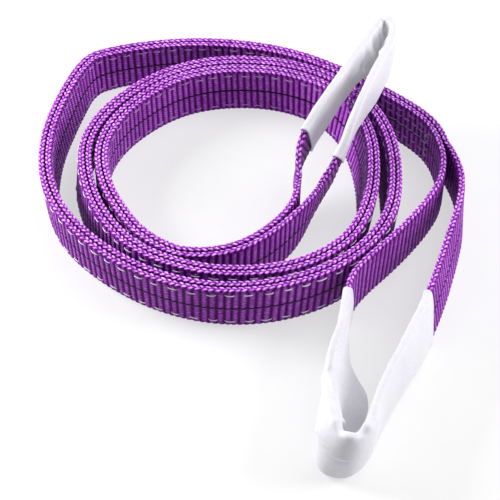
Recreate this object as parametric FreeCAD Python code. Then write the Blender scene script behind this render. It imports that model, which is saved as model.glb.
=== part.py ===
"""Two-ply flat web sling with a sleeved flat eye at each end, coiled on its edge on a flat surface.

Millimetres, +Z up, floor at z = 0, origin at the bottom centre of the whole sling.
Every route is a list of points (x, y) or (x, y, z) joined by straight runs and tangent arcs.
"""
import FreeCAD, Part
import math
import os

V = FreeCAD.Vector

# ---- driving dimensions ----
WEB_WIDTH = 30.0  # webbing of the 1 t class
PLY = 3.4  # thickness of one layer of webbing
PLY_GAP = 0.8  # room for the sewing thread between the two layers
SLEEVE_WIDTH = 33.0
SLEEVE_THICK = 6.4
SLEEVE_WALL = 0.8
SLEEVE_SLIT = 0.2  # between the two long edges of a sleeve
SEAM_INSET = 4.0  # edge seams stand this far in from each selvedge
THREAD = 0.6
THROAT_ROWS = (8.0, 12.0, 18.0, 22.0)  # heights of the extra rows of thread at a throat
LABEL_THICK = 0.4
LABEL_WIDTH = 24.0
ARC_SHARE = 0.45  # part of the shorter run that an arc takes
SHIFT = V(-0.71, 0.29, 0)  # brings the middle of the whole sling to the origin

# ---- routes, before SHIFT ----
# Middle of the two plies, from the inner throat outwards round the coil, clockwise from above.
COIL = [
    (-46, -24.5), (-57, -17.5), (-70, 1), (-82.5, 27), (-87, 58), (-75, 88), (-47.6, 115.8), (-18, 125.8),
    (16, 124.3), (43.2, 111.2), (59.4, 91.6), (67, 65), (68, 35), (64.5, 7), (53, -19), (29, -37), (0, -43.5),
    (-30, -41.2), (-62.2, -26.6), (-83.5, 1), (-95, 33), (-97, 64), (-81.5, 95), (-52, 122.5), (-20, 134.5),
    (18, 132.7), (49, 118.2), (68.8, 94.6), (79, 66), (81, 35), (78, 3), (62, -25), (36, -45), (2, -55),
    (-34, -52), (-70, -34), (-102, -2), (-115.5, 32), (-116.5, 68), (-110, 101), (-104, 122), (-101.2, 129.8),
]
TURNS = ((0, 12), (12, 26), (26, 40))  # first and last run of the inner, middle and outer turn

# Middle of the two plies, from the corner behind the coil to the outer throat.
TAIL = [
    (-98.6, 134.6), (-94, 139.5), (-75, 147), (-42, 152.5), (-8, 150.5), (26, 141.5), (56, 123.5),
    (84, 101), (101, 84), (109, 70), (110.6, 61),
]

# Middle of the single ply of an eye: x, y, z and the lean in degrees, top towards the right of travel.
OUTER_EYE = [
    (109.4, 57.4, 15, 0), (110.6, 46, 15, 0), (107.6, 27.5, 15, 0), (96, 7, 15, 0), (79.5, -15, 15.4, 0),
    (63, -34, 16.6, 0), (53, -48, 17, 4), (49.5, -65, 17.3, 8), (48.5, -83, 17.2, 24), (49, -101, 15, 42),
    (48.5, -118, 14.4, 45), (40.5, -133, 16.8, 18), (36, -146, 17.2, -10), (45.5, -154.5, 16.9, 0),
    (54, -148, 16.8, 0), (60, -133, 16.8, 0), (69.5, -113, 17, -4), (81, -92, 17.2, -7),
    (90, -73.5, 17.2, -9), (97, -54, 16.7, -11), (104, -35, 15.4, -11), (111.5, -11, 15.2, -10),
    (117.5, 9, 15.2, -6), (120, 32, 15.1, 0), (116.5, 50, 15, 0), (113.6, 58.6, 15, 0),
]
INNER_EYE = [
    (-42.8, -24.1, 15, 0), (-36, -27.2, 15, 0), (-22, -27.8, 15, 0), (-7, -23.5, 15, 0), (6, -14.5, 15, 0),
    (18, -1, 15, 0), (25.5, 13, 15.2, 0), (27, 28, 17.5, 4), (27, 42, 27.5, 4), (33, 54, 39, 3),
    (44, 69, 47.5, 0), (54, 91, 49, 0), (64, 113, 49, 0), (72.5, 128, 48.6, -4), (80.5, 129, 48.5, -8),
    (85.5, 122.5, 48.6, -10), (83, 109, 49, -4), (74, 91, 49, 3), (64.5, 71, 50.3, 2), (55.6, 54.2, 46, -4),
    (47, 40, 30.5, -13), (37.5, 26, 17, -14), (30.8, 10.6, 15.2, -7), (21.9, -3.8, 15, 0), (8.9, -17.7, 15, 0),
    (-5.1, -27.4, 15, 0), (-21.5, -32.1, 15, 0), (-37, -31.4, 15, 0), (-45, -27.6, 15, 0),
]
OUTER_SLEEVE_RUNS = (6, 18)  # the sleeve reaches from the middle of one run to the middle of another
INNER_SLEEVE_RUNS = (8, 19)
LABEL_RUNS = (1, 5)  # the label lies between the plies of the inner eye along these runs


def tangent_arcs(points):
    """Runs of a route and, at each inner point, its arc as (start, middle, end)."""
    arcs = []
    for before, corner, after in zip(points, points[1:], points[2:]):
        back, ahead = before - corner, after - corner
        cut = ARC_SHARE * min(back.Length, ahead.Length)
        back.normalize()
        ahead.normalize()
        half_turn = (math.pi - back.getAngle(ahead)) / 2
        radius = cut / math.tan(half_turn)
        inwards = (back + ahead).normalize()
        sagitta = radius / math.cos(half_turn) - radius
        arcs.append((corner + back * cut, corner + inwards * sagitta, corner + ahead * cut, radius))
    return arcs


def plan_edges(route, first_run, last_run):
    """Pieces of a plan route: (points, right-hand normals), from mid-run to mid-run or to its ends."""
    points = [V(x, y, 0) + SHIFT for x, y in route]
    arcs = tangent_arcs(points)
    rights = []
    for a, b in zip(points, points[1:]):
        ahead = (b - a).normalize()
        rights.append(V(ahead.y, -ahead.x, 0))
    at = points[0] if first_run == 0 else (points[first_run] + points[first_run + 1]) / 2
    pieces = []
    for run in range(first_run, last_run):
        start, middle, end, radius = arcs[run]
        side = (rights[run] + rights[run + 1]).normalize()
        pieces.append(([at, start], [rights[run]] * 2))
        pieces.append(([start, middle, end], [rights[run], side, rights[run + 1]]))
        at = end
    last = len(points) - 2
    stop = points[-1] if last_run == last else (points[last_run] + points[last_run + 1]) / 2
    pieces.append(([at, stop], [rights[last_run]] * 2))
    return pieces


def band(route, runs, near, far, low, high):
    """Upright band between two offsets from a plan route, positive to the right of travel."""
    sides = []
    for offset in (near, far):
        edges = []
        for points, normals in plan_edges(route, *runs):
            moved = [p + n * offset + V(0, 0, low) for p, n in zip(points, normals)]
            curve = Part.LineSegment(*moved) if len(moved) == 2 else Part.Arc(*moved)
            edges.append(curve.toShape())
        sides.append(edges)
    caps = []
    for pick in (0, -1):
        ends = [side[pick].Vertexes[pick].Point for side in sides]
        caps.append(Part.LineSegment(*ends).toShape())
    outline = Part.Wire(Part.__sortEdges__(sides[0] + sides[1] + caps))
    return Part.Face(outline).extrude(V(0, 0, high - low))


def stations(route):
    """(place, direction, lean) along a leaning route, three to each arc."""
    points = [V(x, y, z) + SHIFT for x, y, z, lean in route]
    leans = [row[3] for row in route]
    found = [(points[0], (points[1] - points[0]).normalize(), leans[0])]
    for i, (start, middle, end, radius) in enumerate(tangent_arcs(points)):
        back = (points[i + 1] - points[i]).normalize()
        ahead = (points[i + 2] - points[i + 1]).normalize()
        entry = 1 - (start - points[i + 1]).Length / (points[i + 1] - points[i]).Length
        leave = (end - points[i + 1]).Length / (points[i + 2] - points[i + 1]).Length
        lean_in = leans[i] + (leans[i + 1] - leans[i]) * entry
        lean_out = leans[i + 1] + (leans[i + 2] - leans[i + 1]) * leave
        lean_mid = (lean_in + 2 * leans[i + 1] + lean_out) / 4
        found += [(start, back, lean_in), (middle, (back + ahead).normalize(), lean_mid), (end, ahead, lean_out)]
    found.append((points[-1], (points[-1] - points[-2]).normalize(), leans[-1]))
    return found


def section(place, ahead, lean, width, thick):
    """Rectangular wire square to the route, its width upright but for the lean."""
    up = (V(0, 0, 1) - ahead * ahead.z).normalize()
    right = ahead.cross(up)
    turn = math.radians(lean)
    along_width = (right * math.sin(turn) + up * math.cos(turn)) * (width / 2)
    along_thick = (right * math.cos(turn) - up * math.sin(turn)) * (thick / 2)
    corners = [along_width + along_thick, along_width - along_thick]
    corners += [corner * -1 for corner in corners]
    corners = [place + corner for corner in corners]
    return Part.makePolygon(corners + corners[:1])


def strap(rows, width, thick):
    """Solid of a rectangular section led through the given stations."""
    return Part.makeLoft([section(*row, width, thick) for row in rows], True, True)


def eye_rows(route, first_run, last_run):
    """Stations of a leaning route that lie between the middles of two runs."""
    rows = stations(route)
    inner = rows[3 * first_run + 1:3 * last_run + 1]
    ends = []
    for run in (first_run, last_run):
        (p, ahead, lean_a), (q, _, lean_b) = rows[3 * run], rows[3 * run + 1]
        ends.append(((p + q) / 2, ahead, (lean_a + lean_b) / 2))
    return ends[:1] + inner + ends[1:]


def eye_webbing(route):
    return strap(stations(route), WEB_WIDTH, PLY)


def sleeve(route, runs):
    """Fabric tube round the ply, one wall thick, whose two long edges meet under the webbing."""
    wires = []
    for row in eye_rows(route, *runs):
        outer = section(*row, SLEEVE_WIDTH, SLEEVE_THICK)
        inner = section(*row, SLEEVE_WIDTH - 2 * SLEEVE_WALL, SLEEVE_THICK - 2 * SLEEVE_WALL)
        a, b, c, d = [vertex.Point for vertex in outer.OrderedVertexes]
        e, f, g, h = [vertex.Point for vertex in inner.OrderedVertexes]
        across = (c - d).normalize() * (SLEEVE_SLIT / 2)
        under, over = (c + d) / 2, (g + h) / 2
        corners = [under - across, d, a, b, c, under + across, over + across, g, f, e, h, over - across]
        wires.append(Part.makePolygon(corners + corners[:1]))
    return Part.makeLoft(wires, True, True)


def label():
    """Thin blank tag lying between the two plies of the inner eye."""
    middle = []
    for near, far in zip(INNER_EYE[:LABEL_RUNS[1] + 3], reversed(INNER_EYE)):
        middle.append(tuple((a + b) / 2 for a, b in zip(near[:2], far[:2])))
    half = LABEL_THICK / 2
    low = (WEB_WIDTH - LABEL_WIDTH) / 2
    return band(middle, LABEL_RUNS, -half, half, low, low + LABEL_WIDTH)


def edge_seams(route, runs):
    half = THREAD / 2
    heights = (SEAM_INSET, WEB_WIDTH - SEAM_INSET)
    return [band(route, runs, -half, half, height - half, height + half) for height in heights]


def throat_rows(route, runs):
    half = THREAD / 2
    return [band(route, runs, -half, half, height - half, height + half) for height in THROAT_ROWS]


def save(name, solids):
    shape = solids[0] if len(solids) == 1 else Part.makeCompound(solids)
    shape.exportStep(f"parts/{name}.step")
    box = shape.BoundBox
    print(f"{name:26s} {len(solids)} solid {shape.Volume:7.0f} mm3 valid {shape.isValid()} low {box.ZMin:.2f}")
    return box


def main():
    os.makedirs("parts", exist_ok=True)
    near, far = PLY_GAP / 2, PLY_GAP / 2 + PLY
    whole = FreeCAD.BoundBox()
    for name, runs in zip(("inner_turn", "middle_turn", "outer_turn"), TURNS):
        whole.add(save(f"{name}_inside_ply", [band(COIL, runs, near, far, 0, WEB_WIDTH)]))
        whole.add(save(f"{name}_outside_ply", [band(COIL, runs, -far, -near, 0, WEB_WIDTH)]))
    tail_runs = (0, len(TAIL) - 2)
    whole.add(save("tail_inside_ply", [band(TAIL, tail_runs, near, far, 0, WEB_WIDTH)]))
    whole.add(save("tail_outside_ply", [band(TAIL, tail_runs, -far, -near, 0, WEB_WIDTH)]))
    whole.add(save("outer_eye_webbing", [eye_webbing(OUTER_EYE)]))
    whole.add(save("inner_eye_webbing", [eye_webbing(INNER_EYE)]))
    whole.add(save("outer_eye_sleeve", [sleeve(OUTER_EYE, OUTER_SLEEVE_RUNS)]))
    whole.add(save("inner_eye_sleeve", [sleeve(INNER_EYE, INNER_SLEEVE_RUNS)]))
    save("coil_edge_seams", edge_seams(COIL, (0, len(COIL) - 2)))
    save("tail_edge_seams", edge_seams(TAIL, tail_runs))
    save("inner_throat_stitching", throat_rows(COIL, (0, 2)))
    save("outer_throat_stitching", throat_rows(TAIL, (7, len(TAIL) - 2)))
    save("rating_label", [label()])
    print("whole", whole, "middle", whole.Center)
    for name, route in (("coil", COIL), ("tail", TAIL), ("outer eye", OUTER_EYE), ("inner eye", INNER_EYE)):
        radii = [arc[3] for arc in tangent_arcs([V(*(row + (0,))[:3]) for row in route])]
        print(name, "radii", [round(r) for r in radii])


main()
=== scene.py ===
"""Flat web sling coiled on its edge: woven webbing, sewing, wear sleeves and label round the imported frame.

Lengths are in millimetres until a mesh is made; the floor, lights and camera are placed in metres. Every
ribbon follows a smooth line with a width direction (up, but for a lean) and a thickness direction (to the
right of travel).
"""

import math

import bpy
import numpy as np
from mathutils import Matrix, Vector, noise


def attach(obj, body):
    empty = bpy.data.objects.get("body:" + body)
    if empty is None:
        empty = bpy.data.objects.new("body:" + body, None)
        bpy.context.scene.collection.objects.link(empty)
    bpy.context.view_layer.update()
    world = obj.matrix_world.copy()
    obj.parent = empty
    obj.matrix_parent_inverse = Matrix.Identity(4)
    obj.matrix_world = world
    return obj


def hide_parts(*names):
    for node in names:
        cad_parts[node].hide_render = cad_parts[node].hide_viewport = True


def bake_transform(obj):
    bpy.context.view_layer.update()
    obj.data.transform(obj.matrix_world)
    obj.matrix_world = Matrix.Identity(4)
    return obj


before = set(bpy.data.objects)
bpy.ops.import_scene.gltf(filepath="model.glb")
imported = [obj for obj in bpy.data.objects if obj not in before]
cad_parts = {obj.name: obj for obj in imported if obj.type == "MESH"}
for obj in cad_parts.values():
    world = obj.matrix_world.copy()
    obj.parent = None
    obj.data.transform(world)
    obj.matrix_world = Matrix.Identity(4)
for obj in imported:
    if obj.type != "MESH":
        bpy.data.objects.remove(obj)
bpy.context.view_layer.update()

# ---- sizes ----
MM = 0.001
CENTRE = (-0.71, 0.29, 0)  # brings the middle of the whole sling to the origin

WEB_WIDTH = 30.0
PLY = 3.9  # thickness of one layer of webbing over its ribs
PLY_OFFSET = 2.0  # from the middle of the two layers to the middle of one
OUTER_FACE = PLY_OFFSET + PLY / 2  # from the middle of the two layers
STATION = 0.45  # between two cross-sections of webbing
RIB_PITCH = 4.05
RIB_DEPTH = 0.75
RIB_SLANT = 0.035  # ahead for each step up the width
BEAD_PITCH = 1.5  # of the yarns that cross a rib
LOOM_WAVES = ((0.22, 5.3, 0.0), (0.13, 2.17, 1.3))  # unevenness: height, length of a radian and phase
LOOP_PITCH = 3.4  # of the yarn loops along a selvedge
LOOP_LENGTH = 1.95  # half the length of a loop
LOOP_WIDTH = 1.0  # half its width
LOOP_TILT = math.radians(24)
LOOP_DEPTH = 0.65
EDGE_RADIUS = 1.2
FACE_END = 0.7  # from the selvedge to where the ribs have died out
FACE_BLEND = 1.6  # over which they do so
FACE_POINTS = 19  # across a face of the section
EDGE_POINTS = 17  # round a selvedge of it
TRACER_HALF_WIDTH = 0.62
TRACER_DRIFT = 0.15  # either way
TRACER_TURN = 1.53  # radians per mm of its drift

SEAM_INSET = 3.8  # of the edge stitching from the selvedge
SEAM_END = 4  # from the end of the tail's edge stitching to the end of the two layers
STITCH_PITCH = 9.8
STITCH_LENGTH = 5.4
THREAD_RADIUS = 0.34
BAR_THREAD_RADIUS = 0.38
THREAD_FLATNESS = 0.75  # thickness of a stitch as a share of its width
STITCH_SINK = 0.8  # of a stitch's ends below the face
STITCH_RISE = 0.95  # of its middle above them
STITCH_STATIONS = 9
STITCH_AROUND = 8
INNER_THROAT = (6, 52)  # first and last place sewn, from the end of the two layers
OUTER_THROAT = (62, 8)
THROAT_ROWS = ((6.5, 4.2, 6.6), (0.9, 6.6, 6.9), (-6.5, 4.2, 6.6))  # level, stitch length and pitch
BAR_HALF_WIDTH = 9  # of the zigzag across each end of a throat
ZIGZAG = 3  # width and height of one of its stitches
BAR_INSET = 7  # of the last zigzag from the end of its rows

SLEEVE_HALF_WIDTH = 16.8
SLEEVE_HALF_THICK = 3.0
SLEEVE_WALL = 0.7
SLEEVE_STATION = 1.0
SLEEVE_AROUND = 96  # points round it
SLACK_WAVES = ((16, 13, 0, 0.45), (6, 9, 9, 0.12))  # loose fabric: length, width, seed and height
SLACK_SEED = 14
FOLD_LIMIT = 0.6  # how far in a fold may press
RIM = 0.8  # share of the half width where the upper rim starts
MOUTH_FLARE = 0.04
MOUTH_REACH = 3.0
CUT_REACH = 12  # along which the slant of a mouth dies out
CREASE_LENGTH = 9  # half the length of the longest random crease
WEAVE = 9.0  # radians per mm of a sleeve's weave

EYE_BEND = 12.0  # from a throat to where its eye is clear of the bend
TAIL_BEND = 6.0  # half the length of the bend at the corner
THROAT_LEAD = 3.2  # straight on from a throat into its eye
LEAN_LIFT = 0.25  # keeps the lower edge of a leaning layer off the surface

# ---- routes, before CENTRE is added ----
# Middle of the two layers, from the inner throat outwards round the coil: x, y and the lean in degrees.
COIL = [
    (-46, -24.5, 0), (-57, -17.5, 0), (-70, 1, 0), (-82.5, 27, 0), (-87, 58, 2), (-75, 88, 2),
    (-47.6, 115.8, 0), (-18, 125.8, 0), (16, 124.3, 0), (43.2, 111.2, -5), (59.4, 91.6, -13),
    (67, 65, -15), (68, 35, -10), (64.5, 7, -6), (53, -19, -4), (29, -37, -4), (0, -43.5, -3),
    (-30, -41.2, -2), (-62.2, -26.6, 0), (-83.5, 1, 2), (-95, 33, 7), (-97, 64, 7), (-81.5, 95, 3),
    (-52, 122.5, 1), (-20, 134.5, 0), (18, 132.7, 0), (49, 118.2, -3), (68.8, 94.6, -8),
    (79, 66, -10), (81, 35, -8), (78, 3, -4), (62, -25, -3), (36, -45, -3), (2, -55, -4),
    (-34, -52, -7), (-70, -34, -7), (-102, -2, -3), (-115.5, 32, -4), (-116.5, 68, -6),
    (-110, 101, -6), (-104, 122, -3), (-101.2, 129.8, 0),
]
# On from the corner behind the coil to the outer throat.
TAIL = [
    (-98.6, 134.6, 0), (-94, 139.5, 3), (-75, 147, 5), (-42, 152.5, 4), (-8, 150.5, 2), (26, 141.5, 0),
    (56, 123.5, 0), (84, 101, 0), (101, 84, 0), (109, 70, 0), (110.6, 61, 0),
]
TURNS = {"inner_turn": (0, 12), "middle_turn": (12, 26), "outer_turn": (26, 40)}  # first and last run
TAIL_START = 40
CORNER = (-99.9, 132.2)  # where the tail bends off the coil
CORNER_REACH = 20  # from the start of the tail, within which that is

# Middle of the single layer of an eye: x, y, z and the lean in degrees.
OUTER_EYE = [
    (110.6, 46, 15, 0), (107.6, 27.5, 15, 0), (96, 7, 15, 0), (79.5, -15, 15.4, 0),
    (63, -34, 16.6, 0), (53, -48, 17, 1), (49.8, -65, 17.3, 0), (47.4, -82, 17, 3), (47, -98, 16, 24),
    (49, -113, 14, 48), (43.5, -130, 16, 16), (35.6, -146.5, 17, -20), (46, -156, 16.9, 3),
    (56, -148, 16.8, 4), (61, -133, 16.8, 0), (69.5, -113, 17, -4), (81, -92, 17.2, -7),
    (90, -73.5, 17.2, -9), (97.5, -54, 16.7, -11), (104, -35, 15.4, -11), (111.5, -11, 15.2, -10),
    (117.5, 9, 15.2, -6), (120, 32, 15.1, 0), (116.5, 50, 15, 0),
]
INNER_EYE = [
    (-36, -27.2, 15, 0), (-22, -27.8, 15, 0), (-7, -23.5, 15, 0), (6, -14.5, 15, 0),
    (18, -1, 15, 0), (25.5, 13, 15.2, 0), (27, 28, 17.5, 0), (27, 42, 27.5, 5), (33, 54, 38, 9),
    (44.5, 69, 46.5, 8), (56, 91, 48.8, 7), (67, 113, 49, 8), (75, 127.5, 48.6, 6), (81, 129, 48.5, 0),
    (83.8, 121.5, 48.6, -4), (81.5, 108, 49, -4), (74, 91, 49, -3), (66, 71, 50.3, -7),
    (58, 54.5, 46, -14), (49.6, 40, 30.5, -18), (38.3, 26, 17, -14), (30.8, 10.6, 15.2, -7),
    (21.9, -3.8, 15, 0), (8.9, -17.7, 15, 0), (-5.1, -27.4, 15, 0), (-21.5, -32.1, 15, 0),
    (-37, -31.4, 15, 0),
]
OUTER_SLEEVE_ENDS = ((51, -57), (93, -66))  # x and y of a sleeve's two mouths
INNER_SLEEVE_ENDS = ((32, 52), (50, 41))


# ---- lines ----
def nurbs(points):
    """Points read from the spline whose control points these are."""
    curve = bpy.data.curves.new("route", "CURVE")
    curve.dimensions = "3D"
    spline = curve.splines.new("NURBS")
    spline.points.add(len(points) - 1)
    for control, point in zip(spline.points, points):
        control.co = (*point, 1)
    spline.order_u = 3
    spline.use_endpoint_u = True
    spline.resolution_u = 24
    holder = bpy.data.objects.new("route", curve)
    mesh = bpy.data.meshes.new_from_object(holder)
    line = np.array([vertex.co for vertex in mesh.vertices], float)
    bpy.data.meshes.remove(mesh)
    bpy.data.objects.remove(holder)
    bpy.data.curves.remove(curve)
    return line


def unit(vectors):
    """The same directions with length 1."""
    return vectors / np.linalg.norm(vectors, axis=-1, keepdims=True)


class Line:
    """A smooth route with its frames: place, ahead, right (thickness) and up (width) at distances along."""

    def __init__(self, place, lean):
        steps = np.linalg.norm(np.diff(place, axis=0), axis=1)
        self.along = np.concatenate([[0], np.cumsum(steps)])
        self.place = place
        self.ahead = unit(np.gradient(place, self.along, axis=0))
        upright = unit(np.array([0, 0, 1]) - self.ahead * self.ahead[:, 2:])
        side = np.cross(self.ahead, upright)
        cos, sin = np.cos(lean)[:, None], np.sin(lean)[:, None]
        self.up = side * sin + upright * cos
        self.right = side * cos - upright * sin

    def at(self, along):
        """Place, ahead, right and up at any distances along, as four arrays."""
        found = []
        for field in (self.place, self.ahead, self.right, self.up):
            found.append(np.stack([np.interp(along, self.along, field[:, k]) for k in range(3)], axis=-1))
        return found

    def part(self, start, end, step):
        """The same line between two distances along, with stations about step apart."""
        piece = Line.__new__(Line)
        piece.along = np.linspace(start, end, round((end - start) / step) + 1)
        piece.place, piece.ahead, piece.right, piece.up = self.at(piece.along)
        return piece

    def nearest(self, x, y, start, end):
        """The distance along, between two given ones, where the line passes a point most closely in plan."""
        gap = np.hypot(self.place[:, 0] - x - CENTRE[0], self.place[:, 1] - y - CENTRE[1])
        gap[(self.along < start) | (self.along > end)] = np.inf
        return self.along[gap.argmin()]


def line_through(points):
    """Line whose control points are (x, y, z, lean in degrees)."""
    place = nurbs([point[:3] for point in points]) + np.array(CENTRE)
    lean = np.radians(nurbs([(point[3], 0, 0) for point in points])[:, 0])
    return Line(place, lean)


def body_line():
    """Middle of the two sewn layers from throat to throat; leaning webbing still stands on its lower edge."""
    points = []
    for x, y, lean in COIL + TAIL:
        height = WEB_WIDTH / 2 * math.cos(math.radians(lean)) + LEAN_LIFT * (lean != 0)
        points.append((x, y, height, lean))
    return line_through(points)


def along_at_run(line, run):
    """Distance along the sewn body at the middle of a run of its route."""
    share = run / (len(COIL) + len(TAIL) - 2)
    return float(np.interp(share, np.linspace(0, 1, len(line.along)), line.along))


def throat_points(line, end, side):
    """Two control points that lead a layer of the sewn body straight on into its eye."""
    index, lead = (-1, THROAT_LEAD) if end else (0, -THROAT_LEAD)
    place = line.place[index] - np.array(CENTRE) + line.right[index] * side * PLY_OFFSET
    return [(*(place + line.ahead[index] * step), 0) for step in (0, lead)]


def eye_line(body, end, middle):
    """Line of an eye from one sewn layer round to the other; end is 0 at the inner throat, 1 at the outer."""
    return line_through(throat_points(body, end, 1) + middle + throat_points(body, end, -1)[::-1])


def sleeve_stretch(line, ends):
    """The part of an eye's line between the two mouths of its sleeve."""
    half = line.along[-1] / 2
    start = line.nearest(*ends[0], 0, half)
    end = line.nearest(*ends[1], half, line.along[-1])
    return line.part(start, end, SLEEVE_STATION)


# ---- meshes ----
def mesh_object(name, points, faces, material):
    """Smooth-shaded mesh piece whose points are given in mm."""
    mesh = bpy.data.meshes.new(name)
    mesh.from_pydata([tuple(point) for point in points * MM], [], faces)
    mesh.materials.append(material)
    mesh.polygons.foreach_set("use_smooth", [True] * len(mesh.polygons))
    mesh.update()
    piece = bpy.data.objects.new(name, mesh)
    bpy.context.scene.collection.objects.link(piece)
    return piece


def ring_faces(rings, around, first=0):
    """Quads between rings of points; they face outwards where the rings run clockwise, looking ahead."""
    i, j = np.meshgrid(np.arange(rings - 1), np.arange(around), indexing="ij")
    k = (j + 1) % around
    quads = np.stack([i * around + j, i * around + k, (i + 1) * around + k, (i + 1) * around + j], axis=-1)
    return (quads.reshape(-1, 4) + first).tolist()


def closed_tube(rings):
    """Points and faces of a tube with both ends closed; its rings (stations, around, 3) run anticlockwise."""
    count, around = rings.shape[:2]
    points = [rings[0].mean(0), *rings.reshape(-1, 3), rings[-1].mean(0)]
    faces = [face[::-1] for face in ring_faces(count, around, 1)]
    last, end = 1 + (count - 1) * around, count * around + 1
    for j in range(around):
        k = (j + 1) % around
        faces.append((0, 1 + j, 1 + k))
        faces.append((end, last + k, last + j))
    return np.array(points), faces


def add_attribute(piece, name, values):
    """Gives each point of a piece a number that its material reads."""
    attribute = piece.data.attributes.new(name, "FLOAT", "POINT")
    attribute.data.foreach_set("value", np.asarray(values, np.float32).ravel())


def lay(line, across, out):
    """Points at (across, out) from each station of a line, both given as (stations, around) in mm."""
    sideways = line.right[:, None] * out[..., None]
    return line.place[:, None] + line.up[:, None] * across[..., None] + sideways


# ---- webbing ----
def web_section():
    """Rounded rectangle as across, out and their outward normals: two faces and two selvedges."""
    half_width, half_thick = WEB_WIDTH / 2, PLY / 2
    across, out, normal_across, normal_out = [], [], [], []
    flat = half_width - EDGE_RADIUS
    for side in (1, -1):
        for share in np.linspace(-1, 1, FACE_POINTS):
            across.append(share * flat * side)
            out.append(half_thick * side)
            normal_across.append(0.0)
            normal_out.append(float(side))
        for turn in np.linspace(0, math.pi, EDGE_POINTS)[1:-1]:
            lift = math.cos(turn)
            boxy = 0.35 * lift + 0.65 * np.sign(lift) * abs(lift) ** 1.6
            across.append(side * (flat + EDGE_RADIUS * math.sin(turn) ** 0.55))
            out.append(side * half_thick * boxy)
            normal_across.append(side * math.sin(turn))
            normal_out.append(side * lift)
    return [np.array(values) for values in (across, out, normal_across, normal_out)]


def uneven(along):
    """Distances along with the small unevenness of a loom."""
    shift = sum(height * np.sin(along / length + start) for height, length, start in LOOM_WAVES)
    return along + shift


def rib_height(along, across):
    """Near 1 on top of a rib, which is a pair of yarns across the webbing, and 0 in a groove between two."""
    phase = math.pi * (along + RIB_SLANT * across) / RIB_PITCH
    yarn = np.abs(np.sin(2 * phase))
    return np.abs(np.sin(phase)) ** 1.1 * (0.78 + 0.22 * yarn)


def loop_height(along, out, top):
    """1 on top of a yarn loop of a selvedge, which has two staggered rows of them, slanted opposite ways."""
    row = np.where(out > 0, 1.0, -1.0)
    turns = along / LOOP_PITCH + 0.25 * row + 0.4 * (top < 0)
    beside = (np.abs(out) - PLY / 4) * row
    ahead = (turns - np.floor(turns) - 0.5) * LOOP_PITCH
    cos, sin = math.cos(LOOP_TILT), math.sin(LOOP_TILT) * row
    long, wide = ahead * cos + beside * sin, beside * cos - ahead * sin
    return np.sqrt(np.clip(1 - (long / LOOP_LENGTH) ** 2 - (wide / LOOP_WIDTH) ** 2, 0, 1))


def webbing(name, line, offset, tracer_side, material):
    """One layer of woven webbing, offset to the right of a line; its tracer yarn is on the side named."""
    across, out, normal_across, normal_out = web_section()
    along = uneven(line.along[:, None])
    on_face = np.clip((WEB_WIDTH / 2 - FACE_END - np.abs(across)) / FACE_BLEND, 0, 1)
    rib = rib_height(along, across)
    loop = loop_height(along, out, across)
    height = rib * on_face + loop * (1 - on_face)
    sink = RIB_DEPTH * (1 - rib) * on_face + LOOP_DEPTH * (1 - loop) * (1 - on_face)
    rings = lay(line, across - normal_across * sink, out + offset - normal_out * sink)
    piece = mesh_object(name, *closed_tube(rings), material)
    flat = np.zeros(rings.shape[:2])
    # height is the real rib and loop height; the webbing material paints shade in the grooves and highlights
    # on crests and loop tops from it.
    fields = {
        "along": along + flat,
        "across": across + flat,
        "height": height,
        "tracer": (normal_out * tracer_side > 0.9) + flat,
    }
    for field, values in fields.items():
        add_attribute(piece, field, np.concatenate([[values[0, 0]], values.ravel(), [values[-1, 0]]]))
    return piece


# ---- sewing ----
def stitch(line, start, end, out, radius):
    """Rings of one stitch between two places (along, across) on a face; its ends dip into the webbing."""
    share = np.linspace(0, 1, STITCH_STATIONS)
    along = start[0] + (end[0] - start[0]) * share
    across = start[1] + (end[1] - start[1]) * share
    side = math.copysign(1, out)
    rise = STITCH_RISE * np.sin(math.pi * share) ** 0.4 - STITCH_SINK
    place, _, right, up = line.at(along)
    middle = place + up * across[:, None] + right * (out + side * rise)[:, None]
    ahead = unit(np.gradient(middle, axis=0))
    right = unit(right - ahead * (right * ahead).sum(1, keepdims=True))
    wide = np.cross(ahead, right)
    turns = np.linspace(0, 2 * math.pi, STITCH_AROUND, endpoint=False)
    cos, sin = np.cos(turns)[None, :, None], np.sin(turns)[None, :, None]
    ring = wide[:, None] * cos + right[:, None] * THREAD_FLATNESS * sin
    return middle[:, None] + ring * radius


def sewing(name, line, stitches, material, radius=THREAD_RADIUS):
    """One piece of many stitches, each ((along, across), (along, across), out)."""
    points, faces = [], []
    first = 0
    for start, end, out in stitches:
        more, more_faces = closed_tube(stitch(line, start, end, out, radius))
        faces += [tuple(index + first for index in face) for face in more_faces]
        points.append(more)
        first += len(more)
    return mesh_object(name, np.concatenate(points), faces, material)


def edge_rows(start, end, side, seed):
    """Running stitches near both edges of one outer face, slightly uneven."""
    random = np.random.default_rng(seed)
    rows = []
    for across in (WEB_WIDTH / 2 - SEAM_INSET, SEAM_INSET - WEB_WIDTH / 2):
        for along in np.arange(start + 2, end - STITCH_LENGTH, STITCH_PITCH):
            begin = along + random.uniform(-0.5, 0.5)
            length = STITCH_LENGTH * random.uniform(0.8, 1.1)
            level = across + random.uniform(-0.3, 0.3)
            slope = random.uniform(-0.25, 0.25)
            rows.append(((begin, level), (begin + length, level + slope), side * OUTER_FACE))
    return rows


def throat_rows(start, end, out, random):
    """Close rows of stitches along a throat, on one face."""
    rows = []
    for across, length, pitch in THROAT_ROWS:
        for along in np.arange(start + 1, end - length, pitch):
            level = across + random.uniform(-0.4, 0.4)
            rows.append(((along, level), (along + length, level + random.uniform(-0.4, 0.4)), out))
    return rows


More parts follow.
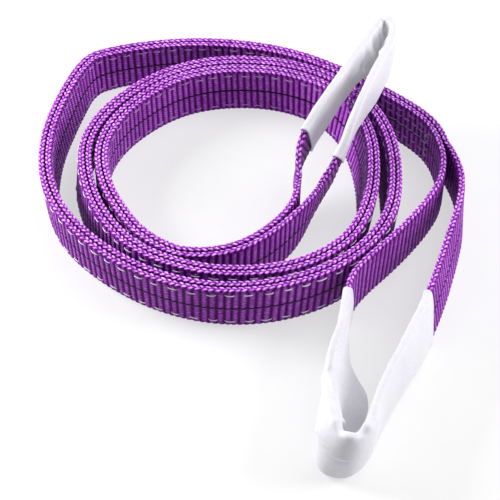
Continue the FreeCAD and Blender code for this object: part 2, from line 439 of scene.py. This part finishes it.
def zigzag_bar(start, out, random):
    """Zigzag of stitches across the webbing, on one face."""
    rows = []
    for step, across in enumerate(np.arange(-BAR_HALF_WIDTH, BAR_HALF_WIDTH, ZIGZAG)):
        left = start + random.uniform(-0.3, 0.3)
        right = start + ZIGZAG + random.uniform(-0.3, 0.3)
        begin, stop = (left, right) if step % 2 else (right, left)
        rows.append(((begin, across), (stop, across + ZIGZAG), out))
    return rows


def throat_pattern(start, end, seed):
    """Rows of stitches that close a throat, with a zigzag bar at each end of them, on both faces."""
    random = np.random.default_rng(seed)
    rows = []
    for out in (OUTER_FACE, -OUTER_FACE):
        rows += throat_rows(start, end, out, random)
        for bar in (start, end - BAR_INSET):
            rows += zigzag_bar(bar, out, random)
    return rows


# ---- wear sleeves ----
def crumple(seed, count, along, levels, height):
    """Random creases on the inside of a loop, as the folds of a sleeve."""
    random = np.random.default_rng(seed)
    folds = []
    for _ in range(count):
        angle = random.uniform(35, 105)
        size = random.uniform(0.5, 1.0)
        where = random.uniform(*along), random.uniform(*levels)
        folds.append((1, *where, CREASE_LENGTH * size, random.uniform(1.3, 2.2), angle, height * size))
    return folds


# Folds: inside (1) or outside (-1) of the loop, distance along, level on the width, length and reach of the
# fold, its angle in degrees from straight along, and its height.
OUTER_FOLDS = [
    (1, 104, 11, 9, 2.4, 5, -1.4), (-1, 104, 1, 13, 1.0, -3, -0.6), (-1, 104, 3.6, 14, 1.5, -3, 0.8),
    (-1, 88, 4, 6, 2.4, 55, 0.8), (-1, 71, 6, 30, 13, 0, 6.0), (1, 72, 14, 18, 2.6, 0, 1.2),
    *crumple(5, 9, (76, 98), (8, 14), 1.4),
]
INNER_FOLDS = crumple(8, 26, (50, 98), (-8, 13), 3.8) + crumple(9, 6, (100, 125), (-6, 12), 1.6)
# Lumps of the upper rim: distance along, length and height.
OUTER_LUMPS = [(92, 3.0, 1.1), (98.5, 2.6, -0.9), (104, 3.2, 1.3), (110, 2.2, -0.8), (114.5, 3.0, 1.2)]
INNER_LUMPS = [(70, 4.0, 0.8), (79, 3.0, -0.8), (85, 2.6, 1.1), (91, 2.4, -0.9), (96, 3.0, 0.9)]


def sleeve_section():
    """Flattened tube as across, out and their outward normals, at even steps round it."""
    turns = np.linspace(0, 2 * math.pi, 721)
    cos, sin = np.cos(turns), np.sin(turns)
    across = SLEEVE_HALF_WIDTH * np.sign(cos) * np.abs(cos) ** 0.8
    out = SLEEVE_HALF_THICK * np.sign(sin) * np.abs(sin) ** 0.45
    girth = np.concatenate([[0], np.cumsum(np.hypot(np.diff(across), np.diff(out)))])
    steps = np.linspace(0, girth[-1], SLEEVE_AROUND, endpoint=False)
    across, out = np.interp(steps, girth, across), np.interp(steps, girth, out)
    step_across, step_out = (np.roll(values, -1) - np.roll(values, 1) for values in (across, out))
    length = np.hypot(step_across, step_out)
    return across, out, step_out / length, -step_across / length


def slack(along, across, out):
    """How far loose fabric swells, in gentle random waves."""
    push = np.zeros((len(along), SLEEVE_AROUND))
    for i, distance in enumerate(along):
        for j, level in enumerate(across):
            layer = SLACK_SEED + 5 * np.sign(out[j])  # the two faces swell apart
            for length, width, seed, height in SLACK_WAVES:
                push[i, j] += height * noise.noise(Vector((distance / length, level / width, layer + seed)))
    return push


def fold_push(folds, inside, along, across, out):
    """How far the folds push the fabric; inside is 1 where the loop bends to the right and -1 to the left."""
    push = np.zeros((len(along), SLEEVE_AROUND))
    for side, middle, level, length, reach, angle, height in folds:
        facing = np.clip(side * inside * out / SLEEVE_HALF_THICK, 0, 1)
        away = along[:, None] - middle
        beside = across[None, :] - level
        cos, sin = math.cos(math.radians(angle)), math.sin(math.radians(angle))
        down, over = away * cos + beside * sin, beside * cos - away * sin
        push += height * facing * np.exp(-((down / length) ** 2) - np.abs(over / reach) ** 1.3)
    return push


def sleeve(name, line, inside, folds, lumps, slants, material):
    """Fabric tube with an open mouth at each end, slack where it goes round the loop.

    Each mouth is cut at a slant, ahead for each step up the width.
    """
    across, out, normal_across, normal_out = sleeve_section()
    along = line.along - line.along[0]
    total = along[-1]
    push = slack(along, across, out) + fold_push(folds, inside, along, across, out)
    push = np.maximum(push, -FOLD_LIMIT)
    rim = np.clip((across / SLEEVE_HALF_WIDTH - RIM) / (1 - RIM), 0, 1)
    lift = np.zeros(len(along))
    for middle, length, height in lumps:
        lift += height * np.exp(-(((along - middle) / length) ** 2))
    lift = rim * lift[:, None]
    flare = MOUTH_FLARE * np.exp(-np.minimum(along, total - along) / MOUTH_REACH)[:, None]
    outer_across = across * (1 + flare) + normal_across * push * 0.4 + lift
    outer_out = out * (1 + 2 * flare) + normal_out * (push + 0.5 * np.abs(lift))
    inner_across = outer_across - normal_across * SLEEVE_WALL
    inner_out = outer_out - normal_out * SLEEVE_WALL
    cut = slants[0] * np.exp(-along / CUT_REACH) + slants[1] * np.exp((along - total) / CUT_REACH)
    shift = line.ahead[:, None] * (cut[:, None] * across[None, :])[..., None]
    outer = lay(line, outer_across, outer_out) + shift
    inner = lay(line, inner_across, inner_out) + shift
    rings = np.concatenate([outer, inner[::-1]])
    faces = ring_faces(len(rings) + 1, SLEEVE_AROUND)
    points = rings.reshape(-1, 3)
    wrapped = [tuple(index % len(points) for index in face) for face in faces]
    piece = mesh_object(name, points, wrapped, material)
    distances = np.repeat(along, SLEEVE_AROUND)
    add_attribute(piece, "along", np.concatenate([distances, distances[::-1]]))
    add_attribute(piece, "across", np.tile(across, 2 * len(along)))
    return piece


# ---- materials ----
class Nodes:
    """Short way to write a material's node tree."""

    def __init__(self, name):
        self.material = bpy.data.materials.new(name)
        self.material.use_nodes = True
        self.tree = self.material.node_tree
        self.shader = self.tree.nodes["Principled BSDF"]

    def add(self, kind, **settings):
        node = self.tree.nodes.new(kind)
        for name, value in settings.items():
            setattr(node, name, value)
        return node

    def fill(self, socket, value):
        """Gives a socket a number, a colour or another node's output."""
        if isinstance(value, tuple):
            socket.default_value = (*value, 1)
        elif isinstance(value, (int, float)):
            socket.default_value = value
        else:
            self.tree.links.new(value, socket)

    def field(self, name):
        return self.add("ShaderNodeAttribute", attribute_name=name).outputs["Fac"]

    def math(self, operation, *values):
        node = self.add("ShaderNodeMath", operation=operation)
        for socket, value in zip(node.inputs, values):
            self.fill(socket, value)
        return node.outputs[0]

    def times(self, value, factor):
        """Product of an output and a number or another output."""
        return self.math("MULTIPLY", value, factor)

    def weighted(self, *terms):
        """Sum of (output, weight) pairs."""
        total = self.times(*terms[0])
        for term in terms[1:]:
            total = self.math("ADD", total, self.times(*term))
        return total

    def noise(self, scale, detail=2.0, vector=None):
        node = self.add("ShaderNodeTexNoise")
        self.fill(node.inputs["Scale"], scale)
        self.fill(node.inputs["Detail"], detail)
        self.fill(node.inputs["Vector"], vector or self.add("ShaderNodeTexCoord").outputs["Object"])
        return node.outputs["Fac"]

    def ramp(self, factor, *stops):
        node = self.add("ShaderNodeValToRGB")
        elements = node.color_ramp.elements
        while len(elements) < len(stops):
            elements.new(0.5)
        for element, (position, colour) in zip(elements, stops):
            element.position = position
            element.color = (*colour, 1)
        self.fill(node.inputs["Fac"], factor)
        return node.outputs["Color"]

    def mix(self, factor, a, b):
        node = self.add("ShaderNodeMix", data_type="RGBA")
        for socket, value in ((node.inputs[0], factor), (node.inputs[6], a), (node.inputs[7], b)):
            self.fill(socket, value)
        return node.outputs[2]

    def combine(self, *values):
        node = self.add("ShaderNodeCombineXYZ")
        for socket, value in zip(node.inputs, values):
            self.fill(socket, value)
        return node.outputs[0]

    def bump(self, height, distance, strength):
        node = self.add("ShaderNodeBump")
        self.fill(node.inputs["Distance"], distance)
        self.fill(node.inputs["Strength"], strength)
        self.fill(node.inputs["Height"], height)
        self.fill(self.shader.inputs["Normal"], node.outputs["Normal"])

    def set(self, **values):
        """Fills sockets of the shader, named with _ for a space."""
        for name, value in values.items():
            self.fill(self.shader.inputs[name.replace("_", " ")], value)


def webbing_material():
    n = Nodes("webbing")
    along, across, relief, tracer = (n.field(name) for name in ("along", "across", "height", "tracer"))
    slant = n.math("ADD", along, n.times(across, RIB_SLANT))
    row = n.math("FLOOR", n.math("DIVIDE", slant, RIB_PITCH))
    bead_phase = n.weighted((across, math.pi / BEAD_PITCH), (row, math.pi / 2), (slant, 0.9))
    bead = n.math("ABSOLUTE", n.math("SINE", bead_phase))
    fibre = n.noise(1.0, 3.0, n.combine(n.times(along, 1.6), n.times(across, 5.0), row))
    speck = n.noise(620.0)
    patch = n.noise(38.0, 3.0)
    face = n.math("LESS_THAN", n.math("ABSOLUTE", across), WEB_WIDTH / 2 - EDGE_RADIUS)
    # Painted shade and painted highlight: through the ramp below, the height of ribs and loops darkens the
    # grooves and lightens rib crests and loop tops. The bead, patch and speck terms add the weave pattern and
    # random tone of the yarn, and this tone also sets where the painted highlights fall. Faces are kept a
    # little darker than the selvedge loops, which carry the lightest painted highlights. The tracer yarn is
    # the webbing's own dark yarn.
    painted_shade_and_highlight = n.weighted((relief, 0.56), (bead, 0.16), (patch, 0.16), (speck, 0.34), (face, -0.09))
    colour = n.ramp(
        painted_shade_and_highlight, (0.22, (0.034, 0.0006, 0.056)), (0.50, (0.120, 0.005, 0.185)), (0.74, (0.34, 0.060, 0.48)),
        (0.95, (0.72, 0.36, 0.92)),
    )
    drift = n.times(n.math("SINE", n.times(along, TRACER_TURN)), TRACER_DRIFT)
    beside = n.math("ABSOLUTE", n.math("ADD", across, drift))
    yarn = n.times(n.math("LESS_THAN", beside, TRACER_HALF_WIDTH), n.math("GREATER_THAN", tracer, 0.5))
    n.set(
        Base_Color=n.mix(yarn, colour, (0.004, 0.002, 0.008)), Roughness=0.55, Specular_IOR_Level=0.15,
        Specular_Tint=(1.0, 0.3, 1.0),
    )
    n.bump(n.weighted((bead, 0.9), (fibre, 0.5)), 0.0005, 0.9)
    return n.material


def glowing_sleeve_material():
    n = Nodes("sleeve")
    along, across = n.field("along"), n.field("across")
    cloth = n.noise(1.0, 2.0, n.combine(n.times(along, 0.5), n.times(across, 0.5), 0.0))
    weave = n.times(n.math("SINE", n.times(along, WEAVE)), n.math("SINE", n.times(across, WEAVE)))
    # The emission is painted light: the sleeves glow faintly so that their shaded insides stay nearly as
    # light as their lit sides. The base colour is a lilac-tinted grey with random tone.
    n.set(
        Base_Color=n.ramp(cloth, (0.3, (0.455, 0.445, 0.49)), (0.7, (0.50, 0.49, 0.53))), Roughness=0.5,
        Specular_IOR_Level=0.3, Sheen_Weight=0.1, Emission_Strength=0.14, Emission_Color=(0.98, 0.98, 1.0),
    )
    n.bump(n.math("ADD", n.times(weave, 0.12), cloth), 0.0003, 0.5)
    return n.material


def thread_material(name, colour):
    n = Nodes(name)
    fibre = n.noise(2200.0)
    dark = tuple(0.72 * value for value in colour)
    n.set(Base_Color=n.ramp(fibre, (0.3, dark), (0.65, colour)), Roughness=0.55, Sheen_Weight=0.2)
    n.bump(fibre, 0.0001, 0.6)
    return n.material


def label_material():
    n = Nodes("label")
    fine = n.noise(900.0)
    n.set(Base_Color=n.ramp(fine, (0.3, (0.02, 0.07, 0.30)), (0.7, (0.03, 0.12, 0.45))), Roughness=0.5)
    n.bump(fine, 0.00005, 0.4)
    return n.material


def floor_material():
    n = Nodes("floor")
    grain = n.noise(60.0, 3.0)
    n.set(
        Base_Color=n.ramp(grain, (0.3, (0.28, 0.28, 0.285)), (0.7, (0.29, 0.29, 0.295))), Roughness=0.8,
        Specular_IOR_Level=0.2, Emission_Strength=0.6, Emission_Color=(1, 1, 1),
    )
    return n.material


# ---- points in metres ----
def metres(point):
    """A point in mm, given in metres."""
    return tuple(point * MM)


def place_at(line, along):
    """Point of a line in metres."""
    return metres(line.at(along)[0])


# ---- materials of the sling ----
web_look = webbing_material()
glowing_sleeve_look = glowing_sleeve_material()
thread_look = thread_material("thread", (0.80, 0.76, 0.84))
faint_thread_look = thread_material("faint_thread", (0.36, 0.22, 0.46))
grey_thread_look = thread_material("grey_thread", (0.42, 0.36, 0.48))
label_look = label_material()

# ---- layers of the coil and the tail ----
body = body_line()
tail_from = along_at_run(body, TAIL_START)
tail_to = body.along[-1]
corner = body.nearest(*CORNER, tail_from, tail_from + CORNER_REACH)
tail_bend = place_at(body, corner - TAIL_BEND), place_at(body, corner + TAIL_BEND)
SIDES = {"inside": 1, "outside": -1}

for turn, runs in TURNS.items():
    start, end = (along_at_run(body, run) for run in runs)
    stretch = body.part(start, end, STATION)
    for side, sign in SIDES.items():
        layer = webbing(f"{turn}_{side}_web", stretch, sign * PLY_OFFSET, sign, web_look)
        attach(layer, "coil")
        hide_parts(f"{turn}_{side}_ply")

stretch = body.part(tail_from, tail_to, STATION)
for side, sign in SIDES.items():
    layer = webbing(f"tail_{side}_web", stretch, sign * PLY_OFFSET, sign, web_look)
    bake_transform(layer)
    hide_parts(f"tail_{side}_ply")

# ---- sewing of the coil, the tail and the throats ----
for side, sign in SIDES.items():
    look = thread_look if side == "outside" else faint_thread_look
    coil_stitches = edge_rows(0, tail_from, sign, 2 + sign)
    coil_rows = sewing(f"coil_{side}_edge_stitches", body, coil_stitches, look)
    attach(coil_rows, "coil")
    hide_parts("coil_edge_seams")
    tail_stitches = edge_rows(tail_from, tail_to - SEAM_END, sign, 6 + sign)
    tail_rows = sewing(f"tail_{side}_edge_stitches", body, tail_stitches, look)
    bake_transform(tail_rows)
    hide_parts("tail_edge_seams")

inner_pattern = throat_pattern(*INNER_THROAT, seed=3)
inner_bar = sewing("inner_throat_stitches", body, inner_pattern, grey_thread_look, BAR_THREAD_RADIUS)
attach(inner_bar, "coil")
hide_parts("inner_throat_stitching")
outer_pattern = throat_pattern(*(tail_to - distance for distance in OUTER_THROAT), seed=4)
outer_bar = sewing("outer_throat_stitches", body, outer_pattern, grey_thread_look, BAR_THREAD_RADIUS)
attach(outer_bar, "tail")
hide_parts("outer_throat_stitching")

# ---- eyes ----
outer_eye = eye_line(body, 1, OUTER_EYE)
inner_eye = eye_line(body, 0, INNER_EYE)
for eye, line, tracer_side, held_by, throat in (
    ("outer_eye", outer_eye, 1, "tail", tail_to),
    ("inner_eye", inner_eye, -1, "coil", 0),
):
    tip = line.along[-1] / 2
    for leg, start, end in (("near_leg", 0, tip), ("far_leg", tip, line.along[-1])):
        stretch = line.part(start, end, STATION)
        layer = webbing(f"{eye}_{leg}_web", stretch, 0, tracer_side, web_look)
        place_at(body, throat)
        place_at(line, EYE_BEND)
        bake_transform(layer)
        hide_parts(f"{eye}_webbing")

for eye, line, ends, inside, folds, lumps, slants in (
    ("outer_eye", outer_eye, OUTER_SLEEVE_ENDS, -1, OUTER_FOLDS, OUTER_LUMPS, (0.2, 0.2)),
    ("inner_eye", inner_eye, INNER_SLEEVE_ENDS, 1, INNER_FOLDS, INNER_LUMPS, (0.1, 0.0)),
):
    stretch = sleeve_stretch(line, ends)
    piece = sleeve(f"{eye}_wear_sleeve", stretch, inside, folds, lumps, slants, glowing_sleeve_look)
    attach(piece, eye)
    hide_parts(f"{eye}_sleeve")

# ---- label ----
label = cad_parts["rating_label"]
label.data.materials.clear()
label.data.materials.append(label_look)

# ---- stage, in metres ----
FLOOR_REACH = 4  # from its middle to each side
FLOOR_DROP = 0.0006  # puts it just under the lowest yarn
ELEVATION = math.radians(46)
DISTANCE = 0.815  # from the camera to the floor point in the middle of the picture
SENSOR_WIDTH = 36
FOCAL_LENGTH = 104.4


def aim(thing, place, target=(0, 0, 0)):
    """Puts a light or camera at a place and turns it to a target."""
    thing.location = place
    thing.rotation_euler = (Vector(target) - Vector(place)).to_track_quat("-Z", "Y").to_euler()


def area_light(name, place, size, energy):
    """Square light, with its side in metres and its energy in watts, that shines at the origin."""
    data = bpy.data.lights.new(name, "AREA")
    data.shape = "SQUARE"
    data.size = size
    data.energy = energy
    light = bpy.data.objects.new(name, data)
    bpy.context.scene.collection.objects.link(light)
    aim(light, place)


floor_mesh = bpy.data.meshes.new("floor")
corners = [(FLOOR_REACH * x, FLOOR_REACH * y, 0) for x, y in ((-1, -1), (1, -1), (1, 1), (-1, 1))]
floor_mesh.from_pydata(corners, [], [(0, 1, 2, 3)])
floor_mesh.materials.append(floor_material())
floor = bpy.data.objects.new("floor", floor_mesh)
bpy.context.scene.collection.objects.link(floor)
floor.location.z = -FLOOR_DROP

camera = bpy.data.objects.new("camera", bpy.data.cameras.new("camera"))
bpy.context.scene.collection.objects.link(camera)
camera.data.sensor_width = SENSOR_WIDTH
camera.data.lens = FOCAL_LENGTH
looked_at = Vector(CENTRE) * MM
back = Vector((0, -math.cos(ELEVATION), math.sin(ELEVATION))) * DISTANCE
aim(camera, looked_at + back, looked_at)
bpy.context.scene.camera = camera

area_light("left", (-0.7, 0.25, 0.38), 0.45, 13)
area_light("right", (1.2, 0.05, 0.66), 0.7, 20)
area_light("top", (0.5, 0.25, 1.2), 1.0, 8)
world = bpy.data.worlds.new("world")
world.use_nodes = True
world.node_tree.nodes["Background"].inputs["Color"].default_value = (1, 1, 1, 1)
world.node_tree.nodes["Background"].inputs["Strength"].default_value = 0.2
bpy.context.scene.world = world
bpy.context.scene.view_settings.view_transform = "Standard"
